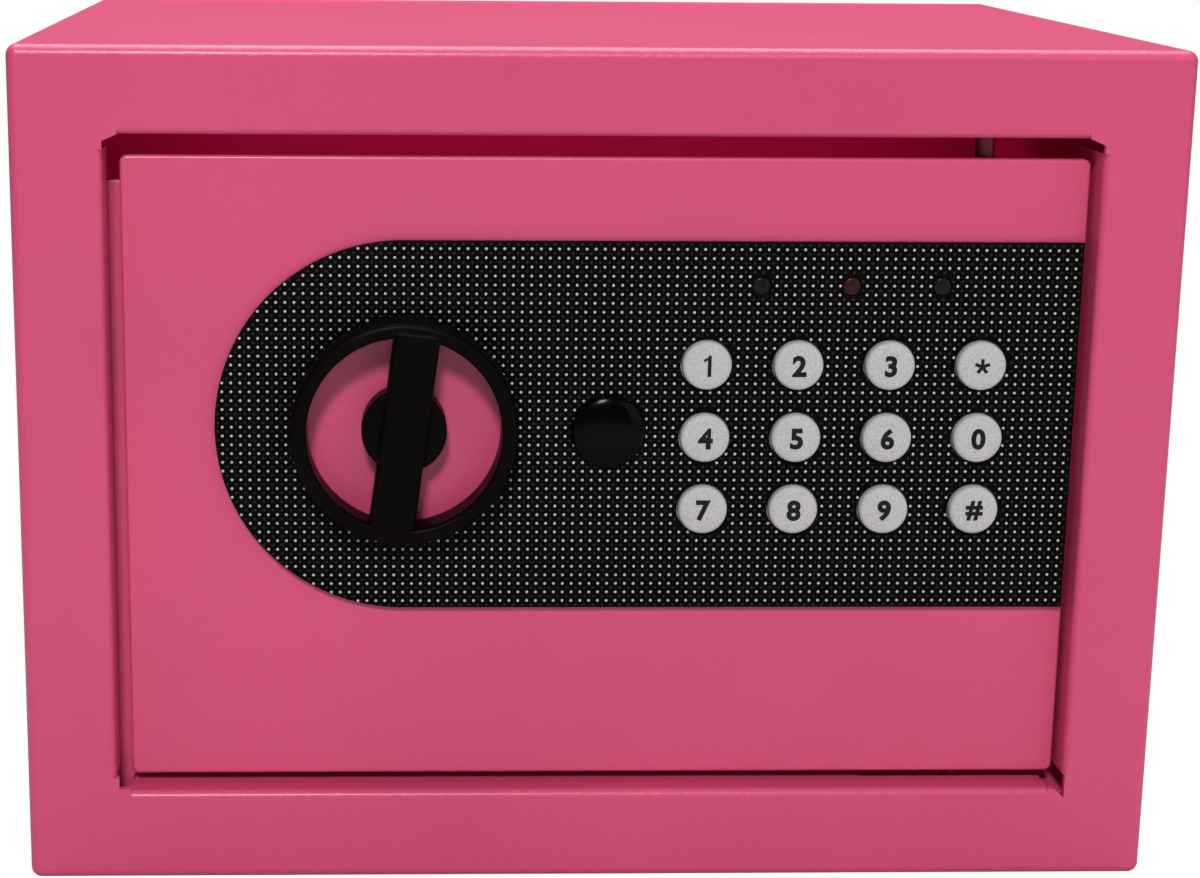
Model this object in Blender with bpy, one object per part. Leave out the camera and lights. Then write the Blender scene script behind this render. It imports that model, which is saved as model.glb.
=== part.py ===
"""A small steel money-box safe with a keypad door, closed and unlocked.

X runs to the right as seen from the front, the front faces -Y and +Z is up.
The origin is the middle of the cabinet's base. Sizes below are millimetres;
objects are made in metres. The door swings on the right, its bolts reach left.
"""

import math

import bmesh
import bpy
from mathutils import Matrix, Vector
from mathutils.geometry import tessellate_polygon

MM = 0.001
UNION, CUT = "UNION", "DIFFERENCE"

# cabinet
WIDTH, HEIGHT, DEPTH = 230.0, 170.0, 170.0
SHEET = 1.5
FRONT, REAR = -DEPTH / 2, DEPTH / 2
FOLD = 2.2
OPEN_L, OPEN_R, OPEN_B, OPEN_T = -97.0, 97.6, 19.0, 153.0
LIP = 1.5
JAMB_REAR, FLANGE_REAR = -75.6, -64.0
CORNER_RELIEF = 3.0
CLEAR = 0.3
ANCHOR_R, ANCHOR_X, BASE_ANCHOR_Y, BACK_ANCHOR_Z = 5.0, (-60.0, 60.0), 20.0, 110.0
STRIP_L, STRIP_R, STRIP_B, STRIP_T, STRIP_THICK = -104.0, -89.0, 8.0, 143.0, 1.5
BRACKET_L, BRACKET_R, BRACKET_FRONT, BRACKET_REAR = 54.0, 104.0, -81.6, -60.0
BRACKET_Z = {"lower": (15.2, 17.2), "upper": (154.8, 156.8)}

# door
DOOR_L, DOOR_R, DOOR_B, DOOR_T = -94.2, 96.6, 21.0, 148.4
DOOR_FRONT, DOOR_BACK = -79.5, -76.5
HINGE = (76.6, -74.2)
HINGE_PIN_R = 2.0
HINGE_PIN_Z = {"lower": (15.6, 50.0), "upper": (130.0, 156.3)}
BEHIND_DOOR = DOOR_BACK + CLEAR
PANEL_FRONT, PANEL_BACK = -81.0, -79.8
PANEL_Z, PANEL_R = 94.5, 37.5
PANEL_LEFT_CENTRE, PANEL_RIGHT = -38.8, 96.0

# things on the door face
KNOB = (-38.6, 94.7)
KNOB_TILT = math.radians(7.3)
KNOB_FRONT, KNOB_BACK = -89.4, -81.4
KNOB_INNER_R, KNOB_OUTER_R, KNOB_CUTOUT_R = 19.3, 22.5, 21.0
GRIP_HALF_WIDTH = 4.55
HUB_R, HUB_FRONT, HUB_BACK = 8.5, -86.0, -80.1
SPINDLE_R, BORE_R = 4.0, 4.3
LOCK = (2.3, 93.9)
LOCK_R = 7.0
PLUG_R, PLUG_STEM_R, PLUG_RIM, PLUG_DOME = 7.5, 5.0, -81.3, 2.0
KEY_COLUMNS = [21.6, 39.9, 58.2, 76.5]
KEY_ROWS = [107.4, 92.6, 77.8]
KEY_NAMES = [["1", "2", "3", "star"], ["4", "5", "6", "0"], ["7", "8", "9", "hash"]]
LAMPS = {"left": 32.0, "middle": 50.0, "right": 68.0}
LAMP_Z = 123.2
BOARD_L, BOARD_R, BOARD_B, BOARD_T = 14.5, 85.5, 66.0, 128.0

# boltwork
BOLT_Z = {"lower": 68.7, "upper": 120.7}
BOLT_Y, BOLT_R = -66.5, 6.0
CRANK_R = 12.0
CRANK_HALF_TURN = math.radians(35)
PLATE = (-59.9, -58.4)
POSTS = {"upper": (-48.0, 117.0), "lower": (-28.0, 70.0)}
PLUNGER_X, PLUNGER_Y = -13.7, -59.15
YOKE_B, YOKE_T, YOKE_HALF, YOKE_SHEET = 102.0, 124.0, 10.0, 1.5

# inner cover
COVER_L, COVER_R, COVER_B, COVER_T = -80.0, 67.5, 34.0, 136.0
COVER_FRONT, COVER_REAR = -75.9, -45.5
COVER_WALL = 1.2
COVER_SCREWS = [(-60.0, 140.6), (50.0, 140.6), (-60.0, 29.4), (50.0, 29.4)]
SCREW_R = 1.5
RAIL_L, RAIL_REAR = -43.0, -42.6
RESET = (30.0, 118.0)
BAY_L, BAY_R, BAY_B, BAY_T = 12.7, 64.3, 37.1, 96.9
CELL_ROWS = [44.5, 59.5, 74.5, 89.5]
CELL_Y, CELL_R, CELL_LENGTH = -56.8, 7.1, 49.8

MATERIALS = {
    "powder_coat": ((0.62, 0.08, 0.17), 0.0, 0.45),
    "black_plastic": ((0.012, 0.012, 0.013), 0.0, 0.35),
    "grey_rubber": ((0.45, 0.45, 0.44), 0.0, 0.7),
    "steel": ((0.60, 0.60, 0.61), 1.0, 0.3),
    "brass": ((0.70, 0.52, 0.25), 1.0, 0.3),
    "copper": ((0.72, 0.32, 0.18), 1.0, 0.35),
    "board_green": ((0.02, 0.16, 0.06), 0.0, 0.4),
    "felt": ((0.03, 0.03, 0.035), 0.0, 0.95),
    "red_plastic": ((0.50, 0.02, 0.02), 0.0, 0.35),
    "lamp": ((0.04, 0.03, 0.03), 0.0, 0.15),
}


def clear_scene():
    for obj in list(bpy.data.objects):
        bpy.data.objects.remove(obj)


def material(name):
    made = bpy.data.materials.get(name)
    if made is None:
        colour, metal, rough = MATERIALS[name]
        made = bpy.data.materials.new(name)
        made.use_nodes = True
        shader = made.node_tree.nodes["Principled BSDF"]
        shader.inputs["Base Color"].default_value = (*colour, 1)
        shader.inputs["Metallic"].default_value = metal
        shader.inputs["Roughness"].default_value = rough
    return made


def finish(name, bm, look):
    """One object from a bmesh in millimetres, with its normals outwards."""
    bmesh.ops.scale(bm, vec=(MM, MM, MM), verts=bm.verts)
    bmesh.ops.recalc_face_normals(bm, faces=bm.faces)
    mesh = bpy.data.meshes.new(name)
    bm.to_mesh(mesh)
    bm.free()
    mesh.shade_smooth()
    mesh.set_sharp_from_angle(angle=math.radians(35))
    obj = bpy.data.objects.new(name, mesh)
    bpy.context.scene.collection.objects.link(obj)
    mesh.materials.append(material(look))
    return obj


def box(name, low, high, look="steel", bevel=0.0, steps=1):
    bm = bmesh.new()
    bmesh.ops.create_cube(bm, size=1)
    size = [b - a for a, b in zip(low, high)]
    centre = [(a + b) / 2 for a, b in zip(low, high)]
    bmesh.ops.scale(bm, vec=size, verts=bm.verts)
    bmesh.ops.translate(bm, vec=centre, verts=bm.verts)
    if bevel:
        bmesh.ops.bevel(
            bm, geom=list(bm.edges), offset=bevel, segments=steps, profile=0.5, affect="EDGES"
        )
    return finish(name, bm, look)


def to_axes(axis, u, v, w):
    """The point whose place along `axis` is w; u and v take the other two axes."""
    return {"X": (w, u, v), "Y": (u, w, v), "Z": (u, v, w)}[axis]


def extrude(name, loops, axis, low, high, look="steel"):
    """An outline with holes, swept straight along one axis."""
    bm = bmesh.new()
    ends = []
    for w in (low, high):
        ends.append([[bm.verts.new(to_axes(axis, u, v, w)) for u, v in loop] for loop in loops])
    flat = [[Vector((u, v, 0)) for u, v in loop] for loop in loops]
    for end in ends:
        verts = [vert for loop in end for vert in loop]
        for triangle in tessellate_polygon(flat):
            bm.faces.new([verts[i] for i in triangle])
    for one, two in zip(*ends):
        for i in range(len(one)):
            j = (i + 1) % len(one)
            bm.faces.new([one[i], one[j], two[j], two[i]])
    bmesh.ops.dissolve_limit(bm, angle_limit=0.001, verts=list(bm.verts), edges=list(bm.edges))
    return finish(name, bm, look)


def lathe(name, profile, centre, axis, steps=32, look="steel"):
    """A profile of (radius, height) turned about `axis`; it closes on itself or on the axis."""
    bm = bmesh.new()
    u, v = centre
    rings = []
    for radius, height in profile:
        if radius == 0:
            rings.append([bm.verts.new(to_axes(axis, u, v, height))])
            continue
        rings.append(
            [
                bm.verts.new(
                    to_axes(
                        axis,
                        u + radius * math.cos(2 * math.pi * k / steps),
                        v + radius * math.sin(2 * math.pi * k / steps),
                        height,
                    )
                )
                for k in range(steps)
            ]
        )
    pairs = list(zip(rings, rings[1:]))
    if profile[0][0] != 0:
        pairs.append((rings[-1], rings[0]))
    for one, two in pairs:
        for k in range(steps):
            m = (k + 1) % steps
            corners = [one[k % len(one)], one[m % len(one)], two[m % len(two)], two[k % len(two)]]
            face = list(dict.fromkeys(corners))
            if len(face) > 2:
                bm.faces.new(face)
    return finish(name, bm, look)


def rod(name, centre, axis, radius, low, high, steps=24, look="steel", chamfer=0.0):
    side = [(radius, low), (radius, high)]
    if chamfer:
        c = chamfer
        side = [(radius - c, low), (radius, low + c), (radius, high - c), (radius - c, high)]
    return lathe(name, [(0, low)] + side + [(0, high)], centre, axis, steps, look)


def tube(name, centre, axis, bore, radius, low, high, steps=24, look="steel"):
    profile = [(bore, low), (radius, low), (radius, high), (bore, high)]
    return lathe(name, profile, centre, axis, steps, look)


def circle(centre, radius, steps=24):
    return [
        (
            centre[0] + radius * math.cos(2 * math.pi * k / steps),
            centre[1] + radius * math.sin(2 * math.pi * k / steps),
        )
        for k in range(steps)
    ]


def rectangle(left, right, low, high, chamfer=0.0):
    c = chamfer
    if not c:
        return [(left, low), (right, low), (right, high), (left, high)]
    return [
        (left + c, low), (right - c, low), (right, low + c), (right, high - c),
        (right - c, high), (left + c, high), (left, high - c), (left, low + c),
    ]


def slot_outline(centre, radius, reach_left, reach_right, steps=8):
    """A level slot: two half circles joined by straight sides."""
    u, v = centre
    angles = [math.pi * (k / steps - 0.5) for k in range(steps + 1)]
    right = [(u + reach_right + radius * math.cos(a), v + radius * math.sin(a)) for a in angles]
    left = [(u - reach_left - radius * math.cos(a), v - radius * math.sin(a)) for a in angles]
    return right + left


def hexagon(centre, reach):
    return circle(centre, reach, 6)


def combine(target, others, operation):
    """Live Booleans; the shapes used stay as hidden helpers."""
    for other in others:
        modifier = target.modifiers.new(other.name, "BOOLEAN")
        modifier.operation = operation
        modifier.solver = "EXACT"
        modifier.object = other
        other.hide_render = True
        other.display_type = "WIRE"
    return target


def empty(name, place, parent=None):
    made = bpy.data.objects.new(name, None)
    made.empty_display_size = 0.02
    bpy.context.scene.collection.objects.link(made)
    made.location = Vector(place) * MM
    if parent:
        made.parent = parent
        made.location -= world_place(parent)
    return made


def world_place(obj):
    place = obj.location.copy()
    while obj.parent:
        obj = obj.parent
        place += obj.location
    return place


def attach(parent, *children):
    """Hangs each object, and its helpers, from an empty on the joint's axis."""
    for child in children:
        shapes = [child] + [m.object for m in child.modifiers if m.type == "BOOLEAN"]
        for shape in shapes:
            shape.data.transform(Matrix.Translation(-world_place(parent)))
            shape.parent = parent


def folded_edge(name, side):
    """One return flange of the front opening with its outside bend radius.

    s is the distance outwards from the opening, d the depth behind the front.
    """
    steps = 4
    rear = (JAMB_REAR if side == "left" else FLANGE_REAR) - FRONT
    bend = [
        (LIP - LIP * math.sin(a), LIP - LIP * math.cos(a))
        for a in (math.pi / 2 * k / steps for k in range(steps + 1))
    ]
    tongue = LIP + 1.0
    outline = [(tongue, 0.0)] + bend + [(0.0, rear), (SHEET, rear), (SHEET, SHEET), (tongue, SHEET)]
    corner = CORNER_RELIEF
    if side in ("left", "right"):
        sign, edge = (-1, OPEN_L) if side == "left" else (1, OPEN_R)
        loop = [(edge + sign * s, FRONT + d) for s, d in outline]
        return extrude(name, [loop], "Z", OPEN_B + corner, OPEN_T - corner, "powder_coat")
    sign, edge = (-1, OPEN_B) if side == "bottom" else (1, OPEN_T)
    loop = [(FRONT + d, edge + sign * s) for s, d in outline]
    return extrude(name, [loop], "X", OPEN_L + corner, OPEN_R - corner, "powder_coat")


def folded_block(name, size, middle_y, radius, steps):
    """A block whose front and side folds are rounded and whose rear edges are square."""
    bm = bmesh.new()
    bmesh.ops.create_cube(bm, size=1)
    bmesh.ops.scale(bm, vec=size, verts=bm.verts)
    bmesh.ops.translate(bm, vec=(0, middle_y, HEIGHT / 2), verts=bm.verts)
    folds = [e for e in bm.edges if not all(v.co.y > 0 for v in e.verts)]
    bmesh.ops.bevel(bm, geom=folds, offset=radius, segments=steps, profile=0.5, affect="EDGES")
    return finish(name, bm, "powder_coat")


def opening_outline():
    """The front opening before its edges are folded in; the corners keep their own reliefs."""
    corner, bend, top_chamfer = CORNER_RELIEF, LIP + 0.5, 1.3
    bottom_left = [
        (OPEN_L + 0.6, OPEN_B + 0.6), (OPEN_L + corner, OPEN_B + 0.6), (OPEN_L + corner, OPEN_B - bend),
    ]
    # the sheet has a small notch, cut on the slant, at its lower right corner
    bottom_right = [
        (OPEN_R - corner, OPEN_B - bend), (OPEN_R - corner, OPEN_B), (OPEN_R - 1.6, OPEN_B),
        (OPEN_R + 0.4, OPEN_B - 2.0), (OPEN_R + 0.4, OPEN_B + corner), (OPEN_R + bend, OPEN_B + corner),
    ]
    top_right = [
        (OPEN_R + bend, OPEN_T - corner), (OPEN_R, OPEN_T - corner), (OPEN_R, OPEN_T - top_chamfer),
        (OPEN_R - corner, OPEN_T), (OPEN_R - corner, OPEN_T + bend),
    ]
    top_left = [
        (OPEN_L + corner, OPEN_T + bend), (OPEN_L + corner, OPEN_T), (OPEN_L, OPEN_T - top_chamfer),
        (OPEN_L, OPEN_T - corner), (OPEN_L - bend, OPEN_T - corner),
    ]
    return bottom_left + bottom_right + top_right + top_left + [
        (OPEN_L - bend, OPEN_B + corner), (OPEN_L + 0.6, OPEN_B + corner),
    ]


def cabinet():
    shell = folded_block("cabinet_shell", (WIDTH, DEPTH, HEIGHT), 0, FOLD, 4)
    inner_front, inner_rear = FRONT + SHEET, REAR + 5
    inner = (WIDTH - 2 * SHEET, inner_rear - inner_front, HEIGHT - 2 * SHEET)
    hollow = folded_block("cabinet_hollow", inner, (inner_rear + inner_front) / 2, FOLD - SHEET, 2)
    opening = extrude("cabinet_opening", [opening_outline()], "Y", FRONT - 1, inner_front + 1, "powder_coat")
    anchors = [
        rod(f"base_anchor_{k}", (x, BASE_ANCHOR_Y), "Z", ANCHOR_R, -2, 4) for k, x in enumerate(ANCHOR_X)
    ]
    combine(shell, [hollow, opening] + anchors, CUT)
    edges = [folded_edge(f"edge_{side}", side) for side in ("left", "right", "bottom", "top")]
    combine(shell, edges, UNION)
    # the sill steps back above the lower hinge bracket; the lintel has only a pin hole
    relief = box("sill_relief", (57.0, -77.0, OPEN_B - 2.5), (OPEN_R + 1.0, FLANGE_REAR + 1, OPEN_B + 1))
    pin_hole = rod("lintel_pin_hole", HINGE, "Z", HINGE_PIN_R + 1.0, OPEN_T - 2, OPEN_T + 3)
    combine(shell, [relief, pin_hole], CUT)

    inset = SHEET + CLEAR
    back = [rectangle(-WIDTH / 2 + inset, WIDTH / 2 - inset, inset, HEIGHT - inset, 1.0)]
    back += [circle((x, BACK_ANCHOR_Z), ANCHOR_R, 16) for x in ANCHOR_X]
    extrude("back_panel", back, "Y", REAR - 3.0, REAR - 1.5, "powder_coat")
    strip_front = JAMB_REAR + CLEAR
    # beside the sill's flange the strip goes on down, and closes the open corner
    beside_sill, above_sill = OPEN_L + CORNER_RELIEF - CLEAR, OPEN_B + CLEAR
    strip = [
        (STRIP_L, STRIP_B), (beside_sill, STRIP_B), (beside_sill, above_sill),
        (STRIP_R, above_sill), (STRIP_R, STRIP_T), (STRIP_L, STRIP_T),
    ]
    extrude("bolt_stop_strip", [strip], "Y", strip_front, strip_front + STRIP_THICK, "powder_coat")
    bracket = [rectangle(BRACKET_L, BRACKET_R, BRACKET_FRONT, BRACKET_REAR, 2.0)]
    bracket += [circle(HINGE, HINGE_PIN_R + CLEAR, 16)]
    for name, (low, high) in BRACKET_Z.items():
        extrude(f"hinge_bracket_{name}", bracket, "Z", low, high, "powder_coat")
    box("floor_mat", (-111.0, -60.0, inset), (111.0, 80.0, 4.3), "felt")


def door_panel(door):
    """The door plate, its fascia and the pins it swings on."""
    window = rectangle(14.0, 86.0, 65.5, 128.5)
    holes = [circle(KNOB, 5.9), circle(LOCK, LOCK_R + 0.4), window]
    outline = rectangle(DOOR_L, DOOR_R, DOOR_B, DOOR_T, 1.2)
    plate = extrude("door_plate", [outline] + holes, "Y", DOOR_FRONT, DOOR_BACK, "powder_coat")
    sockets = [
        rod(f"cover_screw_hole_{k}", place, "Y", SCREW_R + 0.4, -78.5, DOOR_BACK + 1, 12)
        for k, place in enumerate(COVER_SCREWS)
    ]
    combine(plate, sockets, CUT)
    low, high = PANEL_Z - PANEL_R, PANEL_Z + PANEL_R
    steps = 24
    outline = [(PANEL_RIGHT, low), (PANEL_RIGHT, high)] + [
        (PANEL_LEFT_CENTRE - PANEL_R * math.sin(a), PANEL_Z + PANEL_R * math.cos(a))
        for a in (math.pi * k / steps for k in range(steps + 1))
    ]
    holes = [circle(KNOB, KNOB_CUTOUT_R, 40), circle(LOCK, PLUG_STEM_R + 0.4)]
    holes += [circle((x, z), 5.2, 20) for z in KEY_ROWS for x in KEY_COLUMNS]
    holes += [circle((x, LAMP_Z), 1.9, 12) for x in LAMPS.values()]
    fascia = extrude("fascia_panel", [outline] + holes, "Y", PANEL_FRONT, PANEL_BACK, "black_plastic")
    pins = [
        rod(f"hinge_pin_{name}", HINGE, "Z", HINGE_PIN_R, low, high, 16, chamfer=0.4)
        for name, (low, high) in HINGE_PIN_Z.items()
    ]
    attach(door, plate, fascia, *pins)


def knob_works(door):
    """The knob, its spindle and the crank that drives the bolts."""
    turning = empty("knob_axis", (KNOB[0], DOOR_FRONT, KNOB[1]), door)
    inner, outer, back = KNOB_INNER_R, KNOB_OUTER_R, KNOB_BACK
    rounded_front = [
        (outer, -88.2), (outer - 0.4, -88.9), (outer - 1.1, -89.2),
        (inner + 1.0, -89.2), (inner + 0.3, -88.9), (inner, -88.3),
    ]
    profile = [(inner, back), (outer - 0.3, back), (outer, back - 0.5)] + rounded_front
    ring = lathe("knob", profile, KNOB, "Y", 48, "black_plastic")
    reach = inner + 1.3
    low = (KNOB[0] - GRIP_HALF_WIDTH, KNOB_FRONT, KNOB[1] - reach)
    high = (KNOB[0] + GRIP_HALF_WIDTH, KNOB_BACK, KNOB[1] + reach)
    bar = box("knob_bar", low, high, "black_plastic", 0.7, 2)
    # the bar leans to the right at its top
    centre = Vector((KNOB[0], 0, KNOB[1])) * MM
    tilt = Matrix.Rotation(KNOB_TILT, 4, "Y")
    bar.data.transform(Matrix.Translation(centre) @ tilt @ Matrix.Translation(-centre))
    hub = rod("knob_hub", KNOB, "Y", HUB_R, HUB_FRONT, HUB_BACK, 28, "black_plastic")
    bore = rod("knob_bore", KNOB, "Y", BORE_R, HUB_FRONT, HUB_BACK + 1.1, 24)
    combine(ring, [bar, hub], UNION)
    combine(ring, [bore], CUT)
    spindle = rod("spindle", KNOB, "Y", SPINDLE_R, HUB_FRONT + CLEAR, -61.0, 24, chamfer=0.4)
    neck, collar_front, collar_back = 5.6, BEHIND_DOOR, -73.6
    sleeve = [
        (BORE_R, -79.2), (neck, -79.2), (neck, collar_front),
        (8.5, collar_front), (8.5, collar_back), (BORE_R, collar_back),
    ]
    bushing = lathe("spindle_bushing", sleeve, KNOB, "Y", 28, "brass")
    lean = CRANK_HALF_TURN
    pin = (KNOB[0] + CRANK_R * math.sin(lean), KNOB[1] + CRANK_R * math.cos(lean))
    arm = []
    for centre, radius, start in ((KNOB, 8.0, lean + math.pi / 2), (pin, 3.5, lean - math.pi / 2)):
        for k in range(13):
            a = start + math.pi * k / 12
            arm.append((centre[0] + radius * math.sin(a), centre[1] + radius * math.cos(a)))
    crank = extrude("crank", [arm, circle(KNOB, BORE_R)], "Y", -66.0, -63.5)
    combine(crank, [rod("crank_pin", pin, "Y", 2.0, -65.0, -57.6, 16)], UNION)
    attach(turning, ring, spindle, crank)
    attach(door, bushing)
    return pin


def boltwork(door, pin):
    sliding = empty("bolt_axis", (-56.0, -59.15, 94.7), door)
    left, step, right = -56.0, -26.5, -3.0
    low, middle, high = 60.0, 83.0, 127.0
    # a notch lets the plunger drop into the plate's edge when the bolts are out
    notch = [(-10.4, middle), (-10.4, 77.2), (-17.0, 77.2), (-17.0, middle)]
    outline = [(left, low), (right, low), (right, middle)] + notch
    outline += [(step, middle), (step, high), (left, high)]
    # the spindle and crank hub pass in front of the plate, so only the pin needs a slot
    drive = rectangle(pin[0] - 2.5, pin[0] + 2.5, 101.2, 110.0)
    guides = [slot_outline(place, 2.9, 0.3, 14.2) for place in POSTS.values()]
    plate = extrude("bolt_carriage", [outline, drive] + guides, "Y", *PLATE)
    flange = box("carriage_flange", (left, -73.0, low), (left + 1.5, PLATE[0] + 0.8, high))
    combine(plate, [flange], UNION)
    attach(sliding, plate)
    for name, z in BOLT_Z.items():
        bolt = rod(f"bolt_{name}", (BOLT_Y, z), "X", BOLT_R, -86.0, left - CLEAR, 24, chamfer=1.0)
        attach(sliding, bolt)
    guide_l, guide_b, guide_t = -77.0, 58.0, 131.4
    guide = box("bolt_guide_bracket", (guide_l, BEHIND_DOOR, guide_b), (guide_l + 1.5, -57.0, guide_t))
    foot = box("guide_foot", (guide_l + 1, BEHIND_DOOR, guide_b), (-66.0, BEHIND_DOOR + 1.5, guide_t))
    combine(guide, [foot], UNION)
    bores = [
        rod(f"guide_hole_{name}", (BOLT_Y, z), "X", BOLT_R + 0.4, guide_l - 1, guide_l + 3, 24)
        for name, z in BOLT_Z.items()
    ]
    combine(guide, bores, CUT)
    attach(door, guide)
    shoulder, neck_end, head_end = -61.0, -58.1, -56.4
    profile = [
        (0, BEHIND_DOOR), (4.0, BEHIND_DOOR), (4.0, shoulder), (2.5, shoulder),
        (2.5, neck_end), (4.5, neck_end), (4.5, head_end), (0, head_end),
    ]
    for name, place in POSTS.items():
        attach(door, lathe(f"guide_post_{name}", profile, place, "Y", 20))


def solenoid(door):
    """It lets the bolts back only while its plunger is pulled up."""
    x, y = PLUNGER_X, PLUNGER_Y
    left, right, sheet = x - YOKE_HALF, x + YOKE_HALF, YOKE_SHEET
    frame = [
        rectangle(left, right, YOKE_B, YOKE_T),
        rectangle(left + sheet, right - sheet, YOKE_B + sheet, YOKE_T - sheet),
    ]
    yoke = extrude("solenoid_yoke", frame, "Y", -66.0, -52.5)
    foot = box("solenoid_foot", (left, BEHIND_DOOR, YOKE_B), (right, -65.0, YOKE_B + sheet))
    top = box("solenoid_top", (left, BEHIND_DOOR, YOKE_T - sheet), (right, -65.0, YOKE_T))
    rear = BEHIND_DOOR + sheet
    base = box("solenoid_base", (left, BEHIND_DOOR, YOKE_B + 0.5), (right, rear, YOKE_T - 0.5))
    combine(yoke, [foot, top, base], UNION)
    combine(yoke, [rod("yoke_hole", (x, y), "Z", 3.0, YOKE_B - 2, YOKE_B + 3, 16)], CUT)
    coil = tube("solenoid_coil", (x, y), "Z", 2.9, 6.2, YOKE_B + 1.9, YOKE_T - 1.9, 20, "copper")
    attach(door, yoke, coil)
    moving = empty("plunger_axis", (x, y, 96.0), door)
    core, collar_low, collar_high = 2.5, 95.5, 97.0
    profile = [
        (0, 83.5), (core - 0.6, 83.5), (core, 84.3), (core, collar_low), (2 * core, collar_low),
        (2 * core, collar_high), (core, collar_high), (core, 119.0), (0, 119.0),
    ]
    attach(moving, lathe("plunger", profile, (x, y), "Z", 16))
    attach(door, coil_spring("plunger_spring", (x, y), collar_high + 0.5, YOKE_B - 0.4, 3.6, 0.3, 3.0))


def coil_spring(name, centre, low, high, radius, wire, turns, around=14, section=6):
    bm = bmesh.new()
    count = int(turns * around)
    rings = []
    for k in range(count + 1):
        angle = 2 * math.pi * k / around
        z = low + wire + (high - low - 2 * wire) * k / count
        ring = []
        for s in range(section):
            b = 2 * math.pi * s / section
            r = radius + wire * math.cos(b)
            x, y = centre[0] + r * math.cos(angle), centre[1] + r * math.sin(angle)
            ring.append(bm.verts.new((x, y, z + wire * math.sin(b))))
        rings.append(ring)
    for one, two in zip(rings, rings[1:]):
        for s in range(section):
            t = (s + 1) % section
            bm.faces.new([one[s], one[t], two[t], two[s]])
    bm.faces.new(rings[0])
    bm.faces.new(rings[-1])
    return finish(name, bm, "steel")


def emergency_lock(door):
    x, z = LOCK
    housing = tube("lock_housing", LOCK, "Y", 4.9, LOCK_R, -79.2, -57.2, 28)
    nut = extrude("lock_nut", [hexagon(LOCK, 10.0), circle(LOCK, LOCK_R + 0.3)], "Y", BEHIND_DOOR, -73.0)
    attach(door, housing, nut)
    turning = empty("lock_axis", (x, DOOR_FRONT, z), door)
    barrel, tail, shoulder = 4.4, 2.5, -57.6
    profile = [(0, -79.0), (barrel, -79.0), (barrel, shoulder), (tail, shoulder), (tail, -52.4), (0, -52.4)]
    rotor = lathe("lock_rotor", profile, LOCK, "Y", 24, "brass")
    combine(rotor, [box("keyway", (x - 0.7, -80.0, z - 3.2), (x + 0.7, -66.0, z + 3.2))], CUT)
    arm = [(x + 5.0 * math.cos(a), z + 5.0 * math.sin(a)) for a in (math.pi * k / 12 for k in range(13))]
    arm += [(x - 3.0, z - 14.4), (x - 1.6, z - 16.8), (x + 1.6, z - 16.8), (x + 3.0, z - 14.4)]
    tail_hole = circle(LOCK, tail + CLEAR, 16)
    cam = extrude("lock_cam", [arm, tail_hole], "Y", -56.2, -54.8)
    cam_nut = extrude("cam_nut", [hexagon(LOCK, 4.6), tail_hole], "Y", -54.8 + CLEAR, -52.7)
    attach(turning, rotor, cam, cam_nut)
    pulling = empty("plug_axis", (x, PANEL_FRONT, z), door)
    tip = PLUG_RIM - CLEAR - PLUG_DOME
    turns = [math.pi / 2 * k / 6 for k in range(7)]
    dome = [(PLUG_R * math.sin(a), PLUG_RIM - CLEAR - PLUG_DOME * math.cos(a)) for a in turns[1:]]
    stem = [(PLUG_R, PLUG_RIM), (PLUG_STEM_R, PLUG_RIM), (PLUG_STEM_R, -79.6), (0, -79.6)]
    attach(pulling, lathe("key_cover_plug", [(0, tip)] + dome + stem, LOCK, "Y", 32, "black_plastic"))


def keypad(door):
    cap, lip = 4.9, 5.8
    key_profile = [
        (0, -82.75), (3.6, -82.7), (4.6, -82.45), (cap, -82.0),
        (cap, -79.5), (lip, -79.5), (lip, -78.9), (0, -78.9),
    ]
    for row, z in zip(KEY_NAMES, KEY_ROWS):
        for label, x in zip(row, KEY_COLUMNS):
            axis = empty(f"key_axis_{label}", (x, PANEL_FRONT, z), door)
            attach(axis, lathe(f"key_{label}", key_profile, (x, z), "Y", 20, "grey_rubber"))
    lens, lip = 1.6, 2.1
    lamp_profile = [
        (0, -81.3), (1.0, -81.15), (lens, -80.6), (lens, -79.5), (lip, -79.5), (lip, -77.9), (0, -77.9),
    ]
    for name, x in LAMPS.items():
        attach(door, lathe(f"lamp_{name}", lamp_profile, (x, LAMP_Z), "Y", 16, "lamp"))
    board = box("keypad_board", (BOARD_L, -77.6, BOARD_B), (BOARD_R, BEHIND_DOOR, BOARD_T), "board_green")
    front, back = BEHIND_DOOR + CLEAR, -70.0
    can = [(0, front), (6.0, front), (6.0, back), (1.2, back), (1.2, back - 1), (0, back - 1)]
    attach(door, board, lathe("buzzer", can, (28.0, 116.0), "Y", 24, "black_plastic"))


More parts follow.
